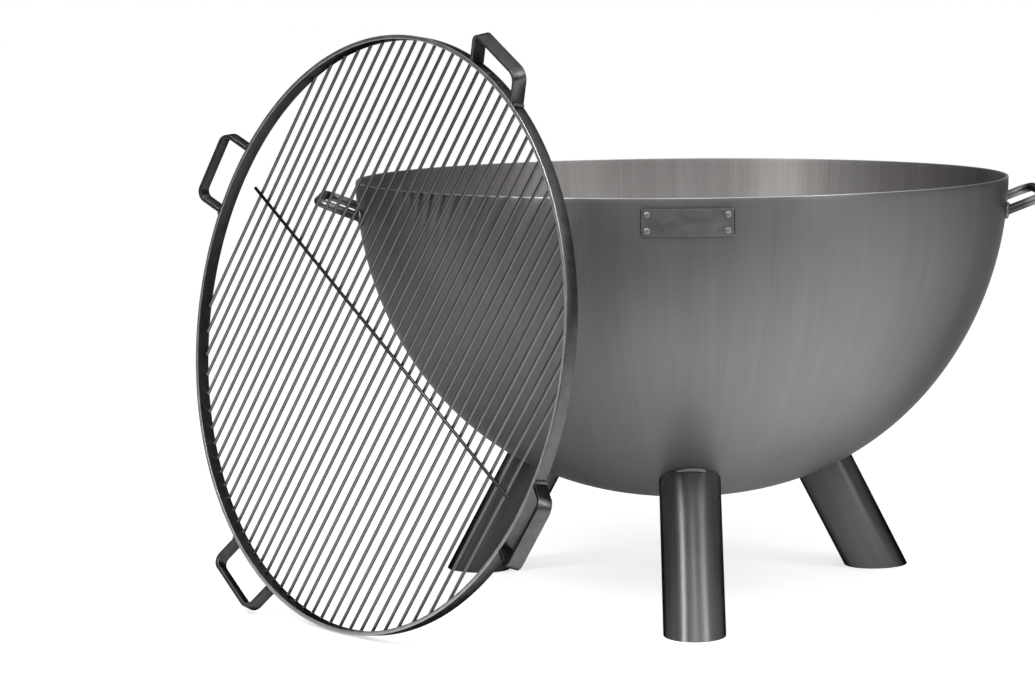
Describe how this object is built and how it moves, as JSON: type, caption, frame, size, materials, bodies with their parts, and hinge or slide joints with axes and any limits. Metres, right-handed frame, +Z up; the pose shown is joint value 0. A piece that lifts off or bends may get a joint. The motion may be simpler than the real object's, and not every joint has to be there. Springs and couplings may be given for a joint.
{
  "type": "fire pit with grill grate",
  "caption": "Deep bare-steel fire bowl on splayed tube legs with two side handles and a bare riveted plate, and a round bar grate with four flat handles leaning on its rim.",
  "frame": {"origin": "middle of the whole assembly's footprint, on the floor that the feet and the leaning grate stand on", "axes": "+Z up, +X to the right as the picture is taken, with the grate leaning at the front left, and +Y away from the camera"},
  "size_m": [1.055, 0.9362, 0.6982],
  "materials": {
    "brushed_sheet_steel": "bare spun sheet steel, brushed up and down, satin",
    "tube_steel": "bare dark steel tube, satin",
    "hot_rolled_bar": "hot-rolled flat bar, dark, satin",
    "bright_round_bar": "drawn round bar, grey, satin",
    "plate_steel": "thin sheet steel, bare, satin",
    "rivet_steel": "domed steel rivet, bright",
    "weld_metal": "bare weld bead, bright grey"
  },
  "bodies": {
    "pit": {"bowl": "brushed_sheet_steel", "bowl_handle_left": "bright_round_bar", "bowl_handle_right": "bright_round_bar", "leg_front": "tube_steel", "leg_left": "tube_steel", "leg_right": "tube_steel", "leg_weld_front": "weld_metal", "leg_weld_left": "weld_metal", "leg_weld_right": "weld_metal", "name_plate": "plate_steel", "plate_rivet_1": "rivet_steel", "plate_rivet_2": "rivet_steel", "plate_rivet_3": "rivet_steel", "plate_rivet_4": "rivet_steel"},
    "grate": {"grate_bar_01": "bright_round_bar", "grate_bar_02": "bright_round_bar", "grate_bar_03": "bright_round_bar", "grate_bar_04": "bright_round_bar", "grate_bar_05": "bright_round_bar", "grate_bar_06": "bright_round_bar", "grate_bar_07": "bright_round_bar", "grate_bar_08": "bright_round_bar", "grate_bar_09": "bright_round_bar", "grate_bar_10": "bright_round_bar", "grate_bar_11": "bright_round_bar", "grate_bar_12": "bright_round_bar", "grate_bar_13": "bright_round_bar", "grate_bar_14": "bright_round_bar", "grate_bar_15": "bright_round_bar", "grate_bar_16": "bright_round_bar", "grate_bar_17": "bright_round_bar", "grate_bar_18": "bright_round_bar", "grate_bar_19": "bright_round_bar", "grate_bar_20": "bright_round_bar", "grate_bar_21": "bright_round_bar", "grate_bar_22": "bright_round_bar", "grate_bar_23": "bright_round_bar", "grate_bar_24": "bright_round_bar", "grate_bar_25": "bright_round_bar", "grate_bar_26": "bright_round_bar", "grate_bar_27": "bright_round_bar", "grate_bar_28": "bright_round_bar", "grate_bar_29": "bright_round_bar", "grate_bar_30": "bright_round_bar", "grate_bar_31": "bright_round_bar", "grate_bar_32": "bright_round_bar", "grate_bar_33": "bright_round_bar", "grate_bar_34": "bright_round_bar", "grate_bar_35": "bright_round_bar", "grate_bar_36": "bright_round_bar", "grate_crossbar": "bright_round_bar", "grate_handle_1": "hot_rolled_bar", "grate_handle_2": "hot_rolled_bar", "grate_handle_3": "hot_rolled_bar", "grate_handle_4": "hot_rolled_bar", "grate_ring": "hot_rolled_bar"}
  },
  "joints": [
    {"name": "grate_lift", "type": "slide", "parent": "pit", "child": "grate", "axis": [0, 0, 1], "range_m": [0, 0.45]}
  ]
}
